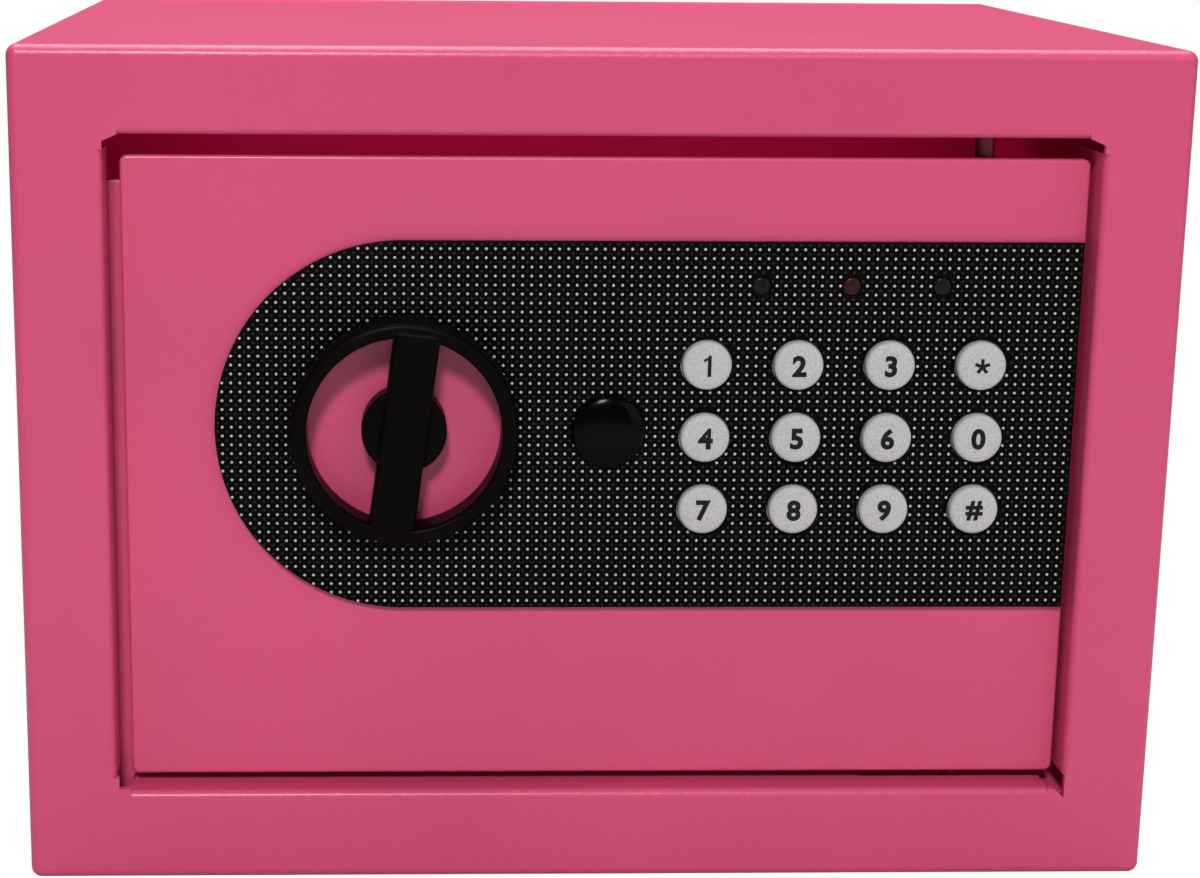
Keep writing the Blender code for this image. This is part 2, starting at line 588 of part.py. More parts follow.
def inner_cover(door):
    """The box over the works, with its screws and the rails that the battery cover slides in."""
    left, right, low, high = COVER_L, COVER_R, COVER_B, COVER_T
    front, rear, wall = COVER_FRONT, COVER_REAR, COVER_WALL
    cover = box("inner_cover", (left, front, low), (right, rear, high), "powder_coat", 1.6, 2)
    flange_outline = rectangle(left, right, 25.0, 145.0, 3.0)
    flange = extrude("cover_flange", [flange_outline], "Y", front, front + wall, "powder_coat")
    rail_right = right - 1.6
    rails = [flange]
    for name, (base, top), (lip_base, lip_top) in (
        ("low", (34.8, 36.8), (34.8, 38.6)),
        ("high", (99.7, 101.7), (97.9, 101.7)),
    ):
        web = (RAIL_L, rear - 0.5, base), (rail_right, RAIL_REAR, top)
        lip = (RAIL_L, RAIL_REAR - 1, lip_base), (rail_right, RAIL_REAR, lip_top)
        rails.append(box(f"rail_{name}", *web, "powder_coat"))
        rails.append(box(f"rail_{name}_lip", *lip, "powder_coat"))
    combine(cover, rails, UNION)
    cuts = [
        box("cover_hollow", (left + wall, front - 2, low + wall), (right - wall, rear - wall, high - wall)),
        box("cell_opening", (12.5, rear - 3, 38.4), (64.5, rear + 1, 95.6)),
        rod("reset_hole", RESET, "Y", 3.4, rear - 3, rear + 1, 20),
    ]
    for name, z in BOLT_Z.items():
        cuts.append(rod(f"bolt_port_{name}", (BOLT_Y, z), "X", BOLT_R + 0.8, left - 1, left + 3, 24))
    for k, place in enumerate(COVER_SCREWS):
        cuts.append(rod(f"flange_hole_{k}", place, "Y", SCREW_R + 0.4, front - 1, front + 2, 12))
    combine(cover, cuts, CUT)
    attach(door, cover)

    head = front + wall + CLEAR
    profile = [
        (0, -78.2), (SCREW_R, -78.2), (SCREW_R, head), (3.4, head), (3.0, head + 1.5), (1.9, head + 2.1),
        (0, head + 2.1),
    ]
    for k, (x, z) in enumerate(COVER_SCREWS):
        screw = lathe(f"cover_screw_{k + 1}", profile, (x, z), "Y", 16)
        driver = box(f"screw_slot_{k}", (x - 2.2, head + 1.0, z - 0.4), (x + 2.2, head + 3.0, z + 0.4))
        combine(screw, [driver], CUT)
        attach(door, screw)


def batteries(door):
    """The holder, its four cells end for end, the sliding cover and the reset button."""
    tray = box("battery_holder", (11.2, -66.0, 36.2), (65.8, -47.2, 97.6), "black_plastic")
    combine(tray, [box("cell_bay", (BAY_L, -64.4, BAY_B), (BAY_R, -46.0, BAY_T))], CUT)
    attach(door, tray)
    middle = (BAY_L + BAY_R) / 2
    low, high = middle - CELL_LENGTH / 2, middle + CELL_LENGTH / 2
    can = [(0, low), (CELL_R - 0.5, low), (CELL_R, low + 0.5), (CELL_R, high - 2.0)]
    cap = [(6.4, high - 1.4), (2.7, high - 1.3), (2.7, high), (0, high)]
    mirrored = [(r, low + high - h) for r, h in can + cap]
    for k, z in enumerate(CELL_ROWS):
        profile = can + cap if k % 2 else mirrored
        attach(door, lathe(f"battery_{k + 1}", profile, (CELL_Y, z), "X", 20, "steel"))

    sliding = empty("battery_cover_axis", (38.0, -44.5, 68.2), door)
    lid = box("battery_cover", (9.5, -45.2, 37.1), (65.6, -43.9, 99.4), "black_plastic")
    first, pitch, width = 13.0, 2.2, 1.0
    grips = [
        box(f"lid_grip_{k}", (first + pitch * k, -44.2, 58.0), (first + pitch * k + width, -42.9, 78.0))
        for k in range(4)
    ]
    combine(lid, grips, UNION)
    attach(sliding, lid)
    pressing = empty("reset_axis", (RESET[0], -44.0, RESET[1]), door)
    stem, lip, lip_rear = 3.0, 4.4, -48.6
    profile = [
        (0, -50.0), (lip, -50.0), (lip, lip_rear), (stem, lip_rear), (stem, -44.6), (2.6, -44.1), (0, -44.0),
    ]
    attach(pressing, lathe("reset_button", profile, RESET, "Y", 20, "red_plastic"))


clear_scene()
cabinet()
door_root = empty("door_axis", (HINGE[0], HINGE[1], 0.0))
door_panel(door_root)
crank_pin_place = knob_works(door_root)
boltwork(door_root, crank_pin_place)
solenoid(door_root)
emergency_lock(door_root)
keypad(door_root)
inner_cover(door_root)
batteries(door_root)
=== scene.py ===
"""The looks of a small pink keypad safe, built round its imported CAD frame.

Most places come from the frame's nodes, and a few depths are given as numbers.
Sizes are in millimetres unless a comment says metres. X runs to the right seen
from the front, the door faces -Y, and +Z is up.
"""

import math

import bmesh
import bpy
from mathutils import Matrix, Vector
from mathutils.geometry import tessellate_polygon


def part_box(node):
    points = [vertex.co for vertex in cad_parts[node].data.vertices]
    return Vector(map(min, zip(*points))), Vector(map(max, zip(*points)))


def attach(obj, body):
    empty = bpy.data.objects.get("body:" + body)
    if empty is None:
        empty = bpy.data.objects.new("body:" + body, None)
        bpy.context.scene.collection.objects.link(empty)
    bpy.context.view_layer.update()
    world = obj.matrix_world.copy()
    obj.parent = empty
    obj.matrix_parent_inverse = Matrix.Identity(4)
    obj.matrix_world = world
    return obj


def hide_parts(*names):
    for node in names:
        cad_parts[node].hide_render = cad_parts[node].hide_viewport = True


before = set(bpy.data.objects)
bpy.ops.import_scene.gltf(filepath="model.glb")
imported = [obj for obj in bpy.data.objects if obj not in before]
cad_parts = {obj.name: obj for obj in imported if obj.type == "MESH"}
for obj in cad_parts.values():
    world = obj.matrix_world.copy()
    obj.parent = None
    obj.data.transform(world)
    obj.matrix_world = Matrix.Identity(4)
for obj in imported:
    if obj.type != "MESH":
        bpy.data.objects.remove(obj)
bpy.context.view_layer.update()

MM = 0.001
KEYS = {
    "1": "1", "2": "2", "3": "3", "star": "*",
    "4": "4", "5": "5", "6": "6", "0": "0",
    "7": "7", "8": "8", "9": "9", "hash": "#",
}
# the cabinet: sheet thickness, radii of its outer folds and of the opening's edges,
# and how far the relief cuts keep those edges from each corner of the opening
SHEET = 1.5
FOLD = 2.2
LIP = 1.5
CORNER = 3.0
FLANGE_REAR = -64.0
ANCHOR_X = 60.0
ANCHOR_RADIUS = 5.0
PIN_HOLE_RADIUS = 3.0

# the gap round the closed door: left, right, bottom and top
GAPS = (2.8, 1.0, 2.0, 4.6)

# the front panel: its raised dots, and the radii of its holes
DOT_PITCH = 1.8
DOT_RADIUS = 0.30
DOT_HEIGHT = 0.14
KNOB_HOLE, PLUG_HOLE, KEY_HOLE, LAMP_HOLE = 21.0, 5.4, 5.2, 1.9

# the knob, front to back along Y
KNOB_TILT = math.radians(7.3)
HUB_FRONT, BORE_FRONT, RING_BACK, HUB_BACK = -86.0, -85.95, -81.4, -80.1
HUB_RADIUS, SPINDLE_BORE = 8.5, 4.3
RING_WIDTH = 3.2
GRIP_HALF_WIDTH = 4.55

# the keys and the lamps, each with a wider foot behind the panel
CAP_RADIUS, SKIRT_RADIUS = 4.9, 5.8
LENS_RADIUS, LENS_FOOT, LENS_FOOT_FRONT = 1.78, 2.1, -79.5
FIGURE_HEIGHT = 4.3
STROKE_GAIN = 0.042  # thickens the printed figures, as a share of the text size

PINK = (0.620, 0.064, 0.164)


def extent(node):
    """Lowest and highest corner of a CAD node, in millimetres."""
    low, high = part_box(node)
    return Vector(low) / MM, Vector(high) / MM


def middle(node):
    low, high = extent(node)
    return (low + high) / 2


# ---------------------------------------------------------------- materials


def new_material(name):
    made = bpy.data.materials.new(name)
    made.use_nodes = True
    tree = made.node_tree
    return made, tree, tree.nodes["Principled BSDF"]


def add(tree, kind, **settings):
    """One shader node; keys are its settings, or its inputs by name."""
    node = tree.nodes.new(kind)
    for key, value in settings.items():
        if hasattr(node, key):
            setattr(node, key, value)
        else:
            node.inputs[key.replace("_", " ")].default_value = value
    return node


def noise(tree, scale, detail=2.0, roughness=0.5, stretch=None):
    """Noise in the object's own space; scale is features per metre."""
    place = add(tree, "ShaderNodeTexCoord")
    made = add(tree, "ShaderNodeTexNoise")
    made.inputs["Scale"].default_value = scale
    made.inputs["Detail"].default_value = detail
    made.inputs["Roughness"].default_value = roughness
    if stretch is None:
        tree.links.new(place.outputs["Object"], made.inputs["Vector"])
        return made
    mapping = add(tree, "ShaderNodeMapping")
    mapping.inputs["Scale"].default_value = stretch
    tree.links.new(place.outputs["Object"], mapping.inputs["Vector"])
    tree.links.new(mapping.outputs["Vector"], made.inputs["Vector"])
    return made


def ramp(tree, source, stops):
    """Maps a value through colours at given places."""
    made = add(tree, "ShaderNodeValToRGB")
    elements = made.color_ramp.elements
    while len(elements) < len(stops):
        elements.new(0.5)
    for element, (place, colour) in zip(elements, stops):
        element.position = place
        element.color = (*colour, 1.0)
    tree.links.new(source, made.inputs["Fac"])
    return made.outputs["Color"]


def spread(tree, source, low, high):
    """Maps 0..1 to low..high."""
    made = add(tree, "ShaderNodeMapRange")
    made.inputs["To Min"].default_value = low
    made.inputs["To Max"].default_value = high
    tree.links.new(source, made.inputs["Value"])
    return made.outputs["Result"]


def bump(tree, shader, height, depth, below=None):
    """Surface relief; depth is the height of a full swing, in metres."""
    made = add(tree, "ShaderNodeBump")
    made.inputs["Strength"].default_value = 1.0
    made.inputs["Distance"].default_value = depth
    tree.links.new(height, made.inputs["Height"])
    if below is not None:
        tree.links.new(below, made.inputs["Normal"])
    tree.links.new(made.outputs["Normal"], shader.inputs["Normal"])
    return made.outputs["Normal"]


def shades(colour, amount):
    return [tuple(c * (1 + s * amount) for c in colour) for s in (-1, 1)]


def tint(tree, shader, source, dark, light, edge=0.3):
    """Runs the base colour from dark to light as the noise rises; edge sets how sharply."""
    colours = ramp(tree, source.outputs["Fac"], [(edge, dark), (1 - edge, light)])
    tree.links.new(colours, shader.inputs["Base Color"])


def dull(tree, shader, source, low, high):
    """Lets the roughness wander between two values with the noise."""
    tree.links.new(spread(tree, source.outputs["Fac"], low, high), shader.inputs["Roughness"])


def powder_coat(name, colour):
    """Baked powder paint: a slight orange peel with fine grain in it."""
    peel = 0.00011
    made, tree, shader = new_material(name)
    cloud = noise(tree, 22.0, 3.0)
    tint(tree, shader, cloud, *shades(colour, 0.035))
    grain = noise(tree, 2600.0, 2.0, 0.6)
    dull(tree, shader, grain, 0.30, 0.52)
    shader.inputs["Specular IOR Level"].default_value = 0.42
    shader.inputs["Coat Weight"].default_value = 0.12
    shader.inputs["Coat Roughness"].default_value = 0.18
    waves = noise(tree, 620.0, 1.0, 0.4)
    first = bump(tree, shader, waves.outputs["Fac"], peel)
    bump(tree, shader, grain.outputs["Fac"], peel * 0.16, first)
    return made


def moulded(name, colour, rough=0.42, specular=0.3):
    """Injection-moulded plastic with a fine spark-eroded grain."""
    made, tree, shader = new_material(name)
    grain = noise(tree, 2400.0, 3.0, 0.6)
    tint(tree, shader, grain, *shades(colour, 0.12))
    dull(tree, shader, grain, rough - 0.07, rough + 0.07)
    shader.inputs["Specular IOR Level"].default_value = specular
    bump(tree, shader, grain.outputs["Fac"], 0.00002)
    return made


def glossy(name, colour, rough=0.08, specular=0.5):
    """Polished plastic, very slightly uneven."""
    made, tree, shader = new_material(name)
    flow = noise(tree, 90.0, 2.0)
    tint(tree, shader, flow, *shades(colour, 0.15))
    dull(tree, shader, flow, rough, rough + 0.05)
    shader.inputs["Specular IOR Level"].default_value = specular
    return made


def rubber(name, colour):
    """Silicone rubber: matt, with a faint dusty speckle."""
    made, tree, shader = new_material(name)
    speck = noise(tree, 3200.0, 2.0, 0.7)
    tint(tree, shader, speck, *shades(colour, 0.16), edge=0.35)
    dull(tree, shader, speck, 0.62, 0.8)
    shader.inputs["Specular IOR Level"].default_value = 0.3
    bump(tree, shader, speck.outputs["Fac"], 0.00002)
    return made


def metal(name, colour, rough=0.3, brushed=(1.0, 1.0, 1.0)):
    """Plated or bare metal; brushed stretches its grain along an axis."""
    made, tree, shader = new_material(name)
    grain = noise(tree, 900.0, 4.0, 0.6, brushed)
    tint(tree, shader, grain, *shades(colour, 0.1))
    dull(tree, shader, grain, rough - 0.08, rough + 0.1)
    shader.inputs["Metallic"].default_value = 1.0
    bump(tree, shader, grain.outputs["Fac"], 0.00001)
    return made


def felt(name):
    """Needled felt: matt fibres with a soft sheen."""
    made, tree, shader = new_material(name)
    fibre = noise(tree, 1500.0, 6.0, 0.75, (1.0, 2.5, 1.0))
    cloud = noise(tree, 60.0, 3.0)
    tint(tree, shader, fibre, (0.012, 0.012, 0.014), (0.06, 0.06, 0.065))
    dull(tree, shader, cloud, 0.9, 1.0)
    shader.inputs["Sheen Weight"].default_value = 0.5
    shader.inputs["Sheen Roughness"].default_value = 0.5
    shader.inputs["Specular IOR Level"].default_value = 0.1
    bump(tree, shader, fibre.outputs["Fac"], 0.0003)
    return made


def windings(name):
    """Enamelled wire wound in close turns round an upright axis."""
    made, tree, shader = new_material(name)
    place = add(tree, "ShaderNodeTexCoord")
    turns = add(tree, "ShaderNodeTexWave", wave_type="BANDS", bands_direction="Z")
    turns.inputs["Scale"].default_value = 700.0
    turns.inputs["Distortion"].default_value = 0.6
    tree.links.new(place.outputs["Object"], turns.inputs["Vector"])
    # painted shade and highlight: each turn's colour runs from dark brown in the groove to bright copper on
    # its crown
    tint(tree, shader, turns, (0.20, 0.06, 0.02), (0.72, 0.30, 0.12), edge=0.0)
    shader.inputs["Metallic"].default_value = 0.85
    shader.inputs["Roughness"].default_value = 0.3
    bump(tree, shader, turns.outputs["Fac"], 0.0002)
    return made


def dotted_panel(name):
    """Black laminate: a faint second lattice of dots lies between the raised ones."""
    dot, halo, ground = (0.034, 0.032, 0.032), (0.020, 0.018, 0.018), (0.0014, 0.0010, 0.0010)
    made, tree, shader = new_material(name)
    place = add(tree, "ShaderNodeTexCoord")
    axes = add(tree, "ShaderNodeSeparateXYZ")
    tree.links.new(place.outputs["Object"], axes.inputs["Vector"])
    origin = middle("fascia_panel") * MM

    def maths(operation, first, second=None):
        node = add(tree, "ShaderNodeMath", operation=operation)
        for socket, value in zip(node.inputs, (first, second)):
            if value is None:
                continue
            if isinstance(value, float):
                socket.default_value = value
            else:
                tree.links.new(value, socket)
        return node.outputs["Value"]

    def from_centre(axis, start):
        cells = maths("DIVIDE", maths("SUBTRACT", axes.outputs[axis], start), DOT_PITCH * MM)
        return maths("SUBTRACT", maths("FRACT", cells), 0.5)

    across = from_centre("X", origin.x)
    up = from_centre("Z", origin.z)
    reach = maths("SQRT", maths("ADD", maths("MULTIPLY", across, across), maths("MULTIPLY", up, up)))
    colours = ramp(tree, reach, [(0.0, dot), (0.10, halo), (0.19, ground)])
    tree.links.new(colours, shader.inputs["Base Color"])
    grain = noise(tree, 2600.0, 2.0)
    dull(tree, shader, grain, 0.42, 0.58)
    shader.inputs["Specular IOR Level"].default_value = 0.05
    bump(tree, shader, grain.outputs["Fac"], 0.00001)
    return made


def cell_label(name, axis_from, axis_to):
    """A plain dry cell's sleeve: dark with a copper-coloured band at its plus end."""
    made, tree, shader = new_material(name)
    place = add(tree, "ShaderNodeTexCoord")
    axes = add(tree, "ShaderNodeSeparateXYZ")
    tree.links.new(place.outputs["Object"], axes.inputs["Vector"])
    along = add(tree, "ShaderNodeMapRange")
    along.inputs["From Min"].default_value = axis_from
    along.inputs["From Max"].default_value = axis_to
    tree.links.new(axes.outputs["X"], along.inputs["Value"])
    steel, dark, band = (0.55, 0.55, 0.56), (0.012, 0.013, 0.018), (0.62, 0.26, 0.08)
    stops = [(0.0, steel), (0.012, dark), (0.70, dark), (0.705, band), (0.955, band), (0.962, steel)]
    colours = ramp(tree, along.outputs["Result"], stops)
    tree.links.new(colours, shader.inputs["Base Color"])
    shader.inputs["Metallic"].default_value = 0.55
    grain = noise(tree, 500.0, 3.0)
    dull(tree, shader, grain, 0.22, 0.34)
    return made


def board(name):
    """Circuit board: lighter copper tracks under green lacquer."""
    track, lacquer = (0.03, 0.22, 0.08), (0.01, 0.10, 0.04)
    made, tree, shader = new_material(name)
    place = add(tree, "ShaderNodeTexCoord")
    tracks = add(tree, "ShaderNodeTexVoronoi", feature="DISTANCE_TO_EDGE")
    tracks.inputs["Scale"].default_value = 260.0
    tracks.inputs["Randomness"].default_value = 0.3
    tree.links.new(place.outputs["Object"], tracks.inputs["Vector"])
    colours = ramp(tree, tracks.outputs["Distance"], [(0.0, track), (0.05, track), (0.07, lacquer)])
    tree.links.new(colours, shader.inputs["Base Color"])
    shader.inputs["Roughness"].default_value = 0.35
    bump(tree, shader, tracks.outputs["Distance"], 0.00003)
    return made


coat = powder_coat("powder_coat", PINK)
# painted shade: the hinge pins take the dark crimson of the shadowed gap round the door, where their tops
# show
pin_shade_paint = powder_coat("pin_painted_shade", (0.16, 0.003, 0.018))
black = moulded("black_plastic", (0.0022, 0.0011, 0.0011), 0.42, 0.05)
panel_black = dotted_panel("dotted_laminate")
# the raised dots: a light grey that is partly their own colour and partly painted highlight, for the glints
# the little domes catch
dot_grey_and_painted_highlight = moulded("raised_dots", (0.50, 0.485, 0.48), 0.45, 0.35)
gloss_black = glossy("gloss_black", (0.0016, 0.0013, 0.0016), 0.15, 0.07)
key_grey = rubber("grey_rubber", (0.475, 0.465, 0.455))
ink = moulded("black_print", (0.006, 0.006, 0.006), 0.5, 0.2)
plated = metal("zinc_plate", (0.60, 0.60, 0.615), 0.32)
turned = metal("turned_steel", (0.64, 0.64, 0.65), 0.24, (0.15, 1.0, 1.0))
brass = metal("brass", (0.70, 0.50, 0.22), 0.28)
dark_felt = felt("felt")
copper = windings("copper_winding")
green = board("board_green")
red = glossy("red_plastic", (0.42, 0.016, 0.014), 0.18)
lens = {
    "left": glossy("lamp_lens_grey", (0.0095, 0.0080, 0.0085), 0.2, 0.08),
    "middle": glossy("lamp_lens_red", (0.0330, 0.0085, 0.0110), 0.2, 0.08),
    "right": glossy("lamp_lens_olive", (0.0130, 0.0100, 0.0080), 0.2, 0.08),
}


# ------------------------------------------------------------------- shapes


def finish(name, bm, *looks, angle=35):
    """One object from a bmesh in millimetres, with its normals outwards."""
    bmesh.ops.scale(bm, vec=(MM, MM, MM), verts=bm.verts)
    bmesh.ops.recalc_face_normals(bm, faces=bm.faces)
    mesh = bpy.data.meshes.new(name)
    bm.to_mesh(mesh)
    bm.free()
    mesh.shade_smooth()
    mesh.set_sharp_from_angle(angle=math.radians(angle))
    obj = bpy.data.objects.new(name, mesh)
    bpy.context.scene.collection.objects.link(obj)
    for look in looks:
        mesh.materials.append(look)
    return obj


def to_axes(axis, u, v, w):
    """The point whose place along `axis` is w; u and v take the other two axes."""
    return {"X": (w, u, v), "Y": (u, w, v), "Z": (u, v, w)}[axis]


def cuboid(low, high):
    bm = bmesh.new()
    bmesh.ops.create_cube(bm, size=1)
    bmesh.ops.scale(bm, vec=[b - a for a, b in zip(low, high)], verts=bm.verts)
    bmesh.ops.translate(bm, vec=[(a + b) / 2 for a, b in zip(low, high)], verts=bm.verts)
    return bm


def box(name, low, high, look, bevel=0.0, steps=3):
    bm = cuboid(low, high)
    if bevel:
        bmesh.ops.bevel(
            bm, geom=list(bm.edges), offset=bevel, segments=steps, profile=0.5, affect="EDGES"
        )
    return finish(name, bm, look)


def extrude(name, loops, axis, low, high, look):
    """An outline with holes, swept along one axis."""
    bm = bmesh.new()
    ends = []
    for w in (low, high):
        ends.append([[bm.verts.new(to_axes(axis, u, v, w)) for u, v in loop] for loop in loops])
    flat = [[Vector((u, v, 0)) for u, v in loop] for loop in loops]
    for end in ends:
        verts = [vert for loop in end for vert in loop]
        for triangle in tessellate_polygon(flat):
            bm.faces.new([verts[i] for i in triangle])
    for one, two in zip(*ends):
        for i in range(len(one)):
            j = (i + 1) % len(one)
            bm.faces.new([one[i], one[j], two[j], two[i]])
    bmesh.ops.recalc_face_normals(bm, faces=bm.faces)
    bmesh.ops.dissolve_limit(bm, angle_limit=0.001, verts=list(bm.verts), edges=list(bm.edges))
    return finish(name, bm, look)


def plate(bm, loops_at, axis, front, back, edge, steps=4):
    """A flat plate with rounded front rims; loops_at(inset) gives its outline and holes."""
    turns = [math.pi / 2 * k / steps for k in range(steps + 1)]
    levels = [(front + edge * (1 - math.cos(a)), edge * (1 - math.sin(a))) for a in turns]
    levels.append((back, 0.0))
    rings = []
    for depth, inset in levels:
        loops = loops_at(inset)
        rings.append([[bm.verts.new(to_axes(axis, u, v, depth)) for u, v in loop] for loop in loops])
    for ring, inset in ((rings[0], edge), (rings[-1], 0.0)):
        verts = [vert for loop in ring for vert in loop]
        flat = [[Vector((u, v, 0)) for u, v in loop] for loop in loops_at(inset)]
        for triangle in tessellate_polygon(flat):
            bm.faces.new([verts[i] for i in triangle])
    for one, two in zip(rings, rings[1:]):
        for near, far in zip(one, two):
            for i in range(len(near)):
                j = (i + 1) % len(near)
                bm.faces.new([near[i], near[j], far[j], far[i]])


def lathe(name, profile, centre, axis, steps, *looks):
    """A profile of (radius, height) turned about `axis`; it closes on itself or on the axis."""
    bm = bmesh.new()
    turn(bm, profile, centre, axis, steps)
    return finish(name, bm, *looks)


def turn(bm, profile, centre, axis, steps):
    u, v = centre
    rings = []
    for radius, height in profile:
        if radius == 0:
            rings.append([bm.verts.new(to_axes(axis, u, v, height))])
            continue
        angles = (2 * math.pi * k / steps for k in range(steps))
        rings.append(
            [
                bm.verts.new(to_axes(axis, u + radius * math.cos(a), v + radius * math.sin(a), height))
                for a in angles
            ]
        )
    pairs = list(zip(rings, rings[1:]))
    if profile[0][0] != 0:
        pairs.append((rings[-1], rings[0]))
    for one, two in pairs:
        for k in range(steps):
            m = (k + 1) % steps
            corners = [one[k % len(one)], one[m % len(one)], two[m % len(two)], two[k % len(two)]]
            face = list(dict.fromkeys(corners))
            if len(face) > 2:
                bm.faces.new(face)


def drill(radius, start, end):
    """The profile of a plain round bar, for cutting a hole."""
    return [(0, start), (radius, start), (radius, end), (0, end)]


def rounded(corners, steps=5):
    """A profile whose listed corners (radius, height, fillet) are rounded."""
    made = []
    count = len(corners)
    for i, (r, h, fillet) in enumerate(corners):
        here = Vector((r, h))
        if not fillet or i in (0, count - 1):
            made.append((r, h))
            continue
        before = Vector(corners[i - 1][:2]) - here
        after = Vector(corners[(i + 1) % count][:2]) - here
        half = before.angle(after) / 2
        back = fillet / math.tan(half)
        start, end = here + before.normalized() * back, here + after.normalized() * back
        centre = here + (before.normalized() + after.normalized()).normalized() * (fillet / math.sin(half))
        arm, sweep = start - centre, (start - centre).angle_signed(end - centre)
        for k in range(steps + 1):
            a = -sweep * k / steps
            made.append(
                (
                    centre.x + arm.x * math.cos(a) - arm.y * math.sin(a),
                    centre.y + arm.x * math.sin(a) + arm.y * math.cos(a),
                )
            )
    return made


def circle(centre, radius, steps=48):
    return [
        (
            centre[0] + radius * math.cos(2 * math.pi * k / steps),
            centre[1] + radius * math.sin(2 * math.pi * k / steps),
        )
        for k in range(steps)
    ]


def round_rectangle(left, right, low, high, radius, steps=6):
    made = []
    for cx, cy, start in (
        (right - radius, low + radius, -0.5),
        (right - radius, high - radius, 0.0),
        (left + radius, high - radius, 0.5),
        (left + radius, low + radius, 1.0),
    ):
        for k in range(steps + 1):
            a = math.pi * (start + 0.5 * k / steps)
            made.append((cx + radius * math.cos(a), cy + radius * math.sin(a)))
    return made


def combine(target, others, operation):
    """Booleans, applied, so that the helpers can go."""
    for other in others:
        modifier = target.modifiers.new(other.name, "BOOLEAN")
        modifier.operation = operation
        modifier.solver = "EXACT"
        modifier.object = other
    apply_modifiers(target)
    for other in others:
        bpy.data.objects.remove(other)


def apply_modifiers(obj):
    graph = bpy.context.evaluated_depsgraph_get()
    made = bpy.data.meshes.new_from_object(obj.evaluated_get(graph))
    obj.modifiers.clear()
    old = obj.data
    obj.data = made
    bpy.data.meshes.remove(old)


def soften(obj, width, steps):
    """A bevel on the hard edges, in millimetres, with flat faces kept flat."""
    bevel = obj.modifiers.new("edges", "BEVEL")
    bevel.width = width * MM
    bevel.segments = steps
    bevel.limit_method = "ANGLE"
    bevel.angle_limit = math.radians(30)
    bevel.use_clamp_overlap = True
    bevel.harden_normals = False
    shade(obj)


def shade(obj):
    obj.data.shade_smooth()
    normals = obj.modifiers.new("normals", "WEIGHTED_NORMAL")
    normals.keep_sharp = True
    return obj


def place(obj, body, slot, *nodes):
    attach(obj, body)
    if nodes:
        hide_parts(*nodes)
    return obj


def carry(node, look, width=0.15, steps=2):
    """A CAD node that keeps its shape, with softened edges and a real finish."""
    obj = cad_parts[node]
    obj.data.materials.clear()
    obj.data.materials.append(look)
    weld = obj.modifiers.new("weld", "WELD")
    weld.merge_threshold = 0.000002
    if width:
        soften(obj, width, steps)
    return obj


# ------------------------------------------------------------------ cabinet


def opening_edges():
    """The front opening: left, right, bottom and top, round the closed door."""
    low, high = extent("door_plate")
    left, right, bottom, top = GAPS
    return low.x - left, high.x + right, low.z - bottom, high.z + top


def folded_edge(name, side, edges, front):
    """One return flange of the opening, with its outside bend radius."""
    left, right, bottom, top = edges
    steps = 10
    strip = extent("bolt_stop_strip")[0].y
    rear = (strip - 0.3 if side == "left" else FLANGE_REAR) - front
    bend = [
        (LIP - LIP * math.sin(a), LIP - LIP * math.cos(a))
        for a in (math.pi / 2 * k / steps for k in range(steps + 1))
    ]
    tongue = [(LIP + 1.0, 0.0)]
    back = [(0.0, rear), (SHEET, rear), (SHEET, SHEET), (LIP + 1.0, SHEET)]
    outline = tongue + bend + back
    if side in ("left", "right"):
        sign, edge = (-1, left) if side == "left" else (1, right)
        loop = [(edge + sign * s, front + d) for s, d in outline]
        return extrude(name, [loop], "Z", bottom + CORNER, top - CORNER, coat)
    sign, edge = (-1, bottom) if side == "bottom" else (1, top)
    loop = [(front + d, edge + sign * s) for s, d in outline]
    return extrude(name, [loop], "X", left + CORNER, right - CORNER, coat)


def folded_box(name, low, high, radius, steps):
    """A box whose front and side folds are rounded and whose rear edges are square."""
    bm = cuboid(low, high)
    folds = [e for e in bm.edges if not all(v.co.y > 0 for v in e.verts)]
    bmesh.ops.bevel(bm, geom=folds, offset=radius, segments=steps, profile=0.5, affect="EDGES")
    return finish(name, bm, coat)


def cabinet():
    low, high = extent("cabinet_shell")
    front = low.y
    left, right, bottom, top = edges = opening_edges()
    shell = folded_box("cabinet", low, high, FOLD, 10)
    inner_low = low + Vector((SHEET, SHEET, SHEET))
    inner_high = high + Vector((-SHEET, 5.0, -SHEET))
    hollow = folded_box("hollow", inner_low, inner_high, FOLD - SHEET, 4)
    c, b = CORNER, LIP + 0.5
    outline = [
        (left + 0.6, bottom + 0.6), (left + c, bottom + 0.6), (left + c, bottom - b),
        (right - c, bottom - b), (right - c, bottom), (right - 1.6, bottom), (right + 0.4, bottom - 2.0),
        (right + 0.4, bottom + c), (right + b, bottom + c), (right + b, top - c), (right, top - c),
        (right, top - 1.3), (right - c, top), (right - c, top + b), (left + c, top + b),
        (left + c, top), (left, top - 1.3), (left, top - c), (left - b, top - c),
        (left - b, bottom + c), (left + 0.6, bottom + c),
    ]
    opening = extrude("opening", [outline], "Y", front - 1, front + SHEET + 1, coat)
    anchors = [
        lathe(f"anchor_{k}", drill(ANCHOR_RADIUS, -2, 4), (x, 20.0), "Z", 48, coat)
        for k, x in enumerate((-ANCHOR_X, ANCHOR_X))
    ]
    combine(shell, [hollow, opening] + anchors, "DIFFERENCE")
    sides = [folded_edge(f"edge_{side}", side, edges, front) for side in ("left", "right", "bottom", "top")]
    combine(shell, sides, "UNION")
    pin = middle("hinge_pin_upper")
    relief = box("relief", (57.0, -77.0, bottom - 2.5), (right + 1.0, -63.0, bottom + 1), coat)
    hole = lathe("pin_hole", drill(PIN_HOLE_RADIUS, top - 2, top + 3), (pin.x, pin.y), "Z", 48, coat)
    combine(shell, [relief, hole], "DIFFERENCE")
    shell.data.materials.clear()
    shell.data.materials.append(coat)
    shell.data.set_sharp_from_angle(angle=math.radians(35))
    shade(shell)
    place(shell, "cabinet", "powder_coat", "cabinet_shell")


